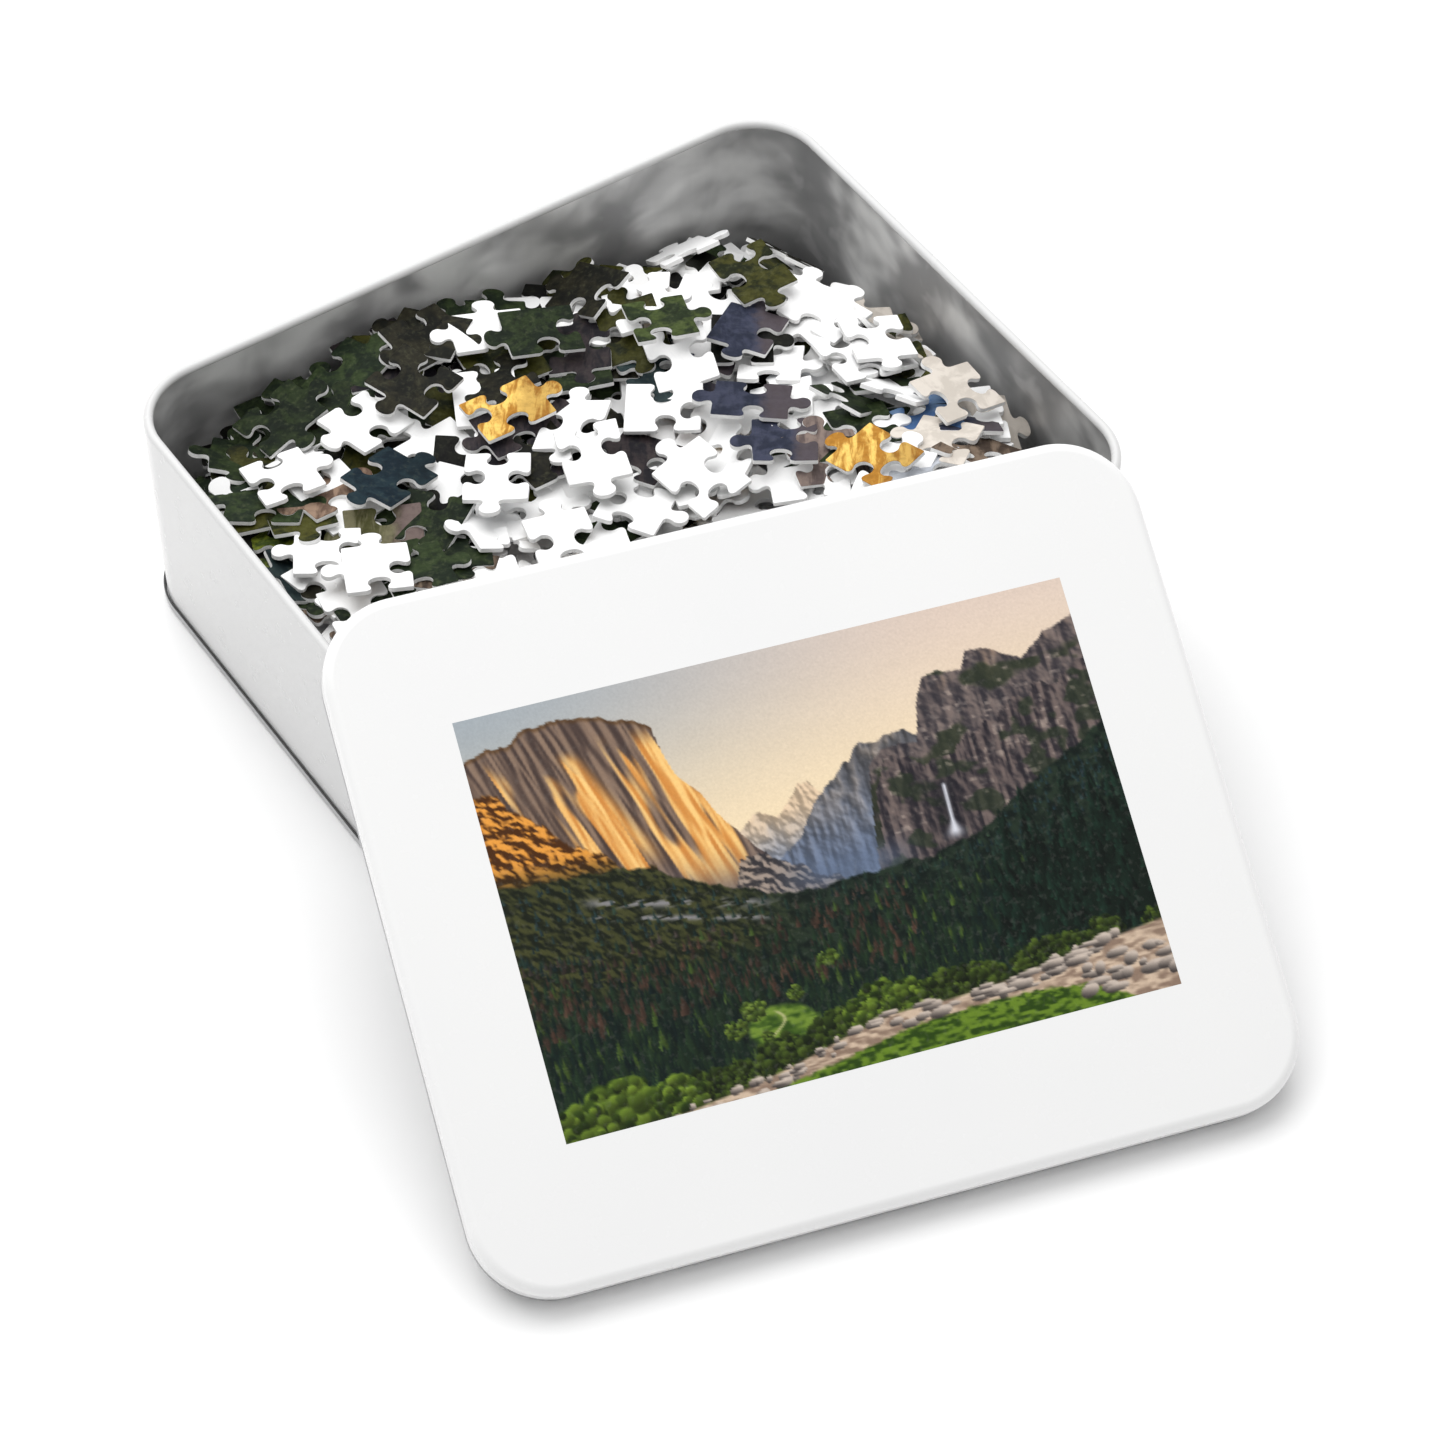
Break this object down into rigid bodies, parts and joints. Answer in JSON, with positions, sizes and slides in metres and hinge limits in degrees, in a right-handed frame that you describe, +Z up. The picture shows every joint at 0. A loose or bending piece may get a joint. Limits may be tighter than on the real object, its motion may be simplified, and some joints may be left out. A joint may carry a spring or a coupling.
{
  "type": "boxed jigsaw puzzle",
  "caption": "Open rectangular tin with round corners, heaped with loose jigsaw pieces, its printed lid leaning on the front rim.",
  "frame": {"origin": "centre of the underside of the tin's base, on the surface it stands on", "axes": "+X along the tin's long side, +Y away from the lid across the tin, +Z up"},
  "size_m": [0.2454, 0.3039, 0.0878],
  "materials": {
    "tin_white": "gloss white lacquer outside, bare tinplate inside",
    "tin_base": "satin tinplate",
    "lid_white": "gloss white lacquer with a printed picture",
    "lid_print": "printed picture, satin",
    "tin_inside": "bare tinplate, satin, blurred reflections",
    "board_white": "matte white board",
    "board_print": "satin printed board",
    "print_beige": "satin print on board",
    "print_dark": "satin print on board",
    "print_fern": "satin print on board",
    "print_golden": "satin print on board",
    "print_green": "satin print on board",
    "print_olive": "satin print on board",
    "print_slate": "satin print on board",
    "print_teal": "satin print on board"
  },
  "bodies": {
    "tin": {"tin_wall": "tin_white", "tin_base": "tin_base", "jigsaw_heap": "board_white"},
    "lid": {"lid": "lid_white"},
    "piece_white_01": {"piece_white_01": "board_white"},
    "piece_white_02": {"piece_white_02": "board_white"},
    "piece_green_01": {"piece_green_01": "print_green"},
    "piece_teal_01": {"piece_teal_01": "print_teal"},
    "piece_white_03": {"piece_white_03": "board_white"},
    "piece_dark_01": {"piece_dark_01": "print_dark"},
    "piece_white_04": {"piece_white_04": "board_white"},
    "piece_golden_01": {"piece_golden_01": "print_golden"},
    "piece_white_05": {"piece_white_05": "board_white"},
    "piece_green_02": {"piece_green_02": "print_green"},
    "piece_white_06": {"piece_white_06": "board_white"},
    "piece_dark_02": {"piece_dark_02": "print_dark"},
    "piece_fern_01": {"piece_fern_01": "print_fern"},
    "piece_slate_01": {"piece_slate_01": "print_slate"},
    "piece_golden_02": {"piece_golden_02": "print_golden"},
    "piece_white_07": {"piece_white_07": "board_white"},
    "piece_olive_01": {"piece_olive_01": "print_olive"},
    "piece_white_08": {"piece_white_08": "board_white"},
    "piece_beige_01": {"piece_beige_01": "print_beige"},
    "piece_dark_03": {"piece_dark_03": "print_dark"}
  },
  "joints": [
    {"name": "lid_lift", "type": "slide", "parent": "tin", "child": "lid", "axis": [0, 0, 1], "range_m": [0, 0.12]},
    {"name": "piece_white_01_lift", "type": "slide", "parent": "tin", "child": "piece_white_01", "axis": [0, 0, 1], "range_m": [0, 0.06]},
    {"name": "piece_white_02_lift", "type": "slide", "parent": "tin", "child": "piece_white_02", "axis": [0, 0, 1], "range_m": [0, 0.06]},
    {"name": "piece_green_01_lift", "type": "slide", "parent": "tin", "child": "piece_green_01", "axis": [0, 0, 1], "range_m": [0, 0.06]},
    {"name": "piece_teal_01_lift", "type": "slide", "parent": "tin", "child": "piece_teal_01", "axis": [0, 0, 1], "range_m": [0, 0.06]},
    {"name": "piece_white_03_lift", "type": "slide", "parent": "tin", "child": "piece_white_03", "axis": [0, 0, 1], "range_m": [0, 0.06]},
    {"name": "piece_dark_01_lift", "type": "slide", "parent": "tin", "child": "piece_dark_01", "axis": [0, 0, 1], "range_m": [0, 0.06]},
    {"name": "piece_white_04_lift", "type": "slide", "parent": "tin", "child": "piece_white_04", "axis": [0, 0, 1], "range_m": [0, 0.06]},
    {"name": "piece_golden_01_lift", "type": "slide", "parent": "tin", "child": "piece_golden_01", "axis": [0, 0, 1], "range_m": [0, 0.06]},
    {"name": "piece_white_05_lift", "type": "slide", "parent": "tin", "child": "piece_white_05", "axis": [0, 0, 1], "range_m": [0, 0.06]},
    {"name": "piece_green_02_lift", "type": "slide", "parent": "tin", "child": "piece_green_02", "axis": [0, 0, 1], "range_m": [0, 0.06]},
    {"name": "piece_white_06_lift", "type": "slide", "parent": "tin", "child": "piece_white_06", "axis": [0, 0, 1], "range_m": [0, 0.06]},
    {"name": "piece_dark_02_lift", "type": "slide", "parent": "tin", "child": "piece_dark_02", "axis": [0, 0, 1], "range_m": [0, 0.06]},
    {"name": "piece_fern_01_lift", "type": "slide", "parent": "tin", "child": "piece_fern_01", "axis": [0, 0, 1], "range_m": [0, 0.06]},
    {"name": "piece_slate_01_lift", "type": "slide", "parent": "tin", "child": "piece_slate_01", "axis": [0, 0, 1], "range_m": [0, 0.06]},
    {"name": "piece_golden_02_lift", "type": "slide", "parent": "tin", "child": "piece_golden_02", "axis": [0, 0, 1], "range_m": [0, 0.06]},
    {"name": "piece_white_07_lift", "type": "slide", "parent": "tin", "child": "piece_white_07", "axis": [0, 0, 1], "range_m": [0, 0.06]},
    {"name": "piece_olive_01_lift", "type": "slide", "parent": "tin", "child": "piece_olive_01", "axis": [0, 0, 1], "range_m": [0, 0.06]},
    {"name": "piece_white_08_lift", "type": "slide", "parent": "tin", "child": "piece_white_08", "axis": [0, 0, 1], "range_m": [0, 0.06]},
    {"name": "piece_beige_01_lift", "type": "slide", "parent": "tin", "child": "piece_beige_01", "axis": [0, 0, 1], "range_m": [0, 0.06]},
    {"name": "piece_dark_03_lift", "type": "slide", "parent": "tin", "child": "piece_dark_03", "axis": [0, 0, 1], "range_m": [0, 0.06]}
  ]
}
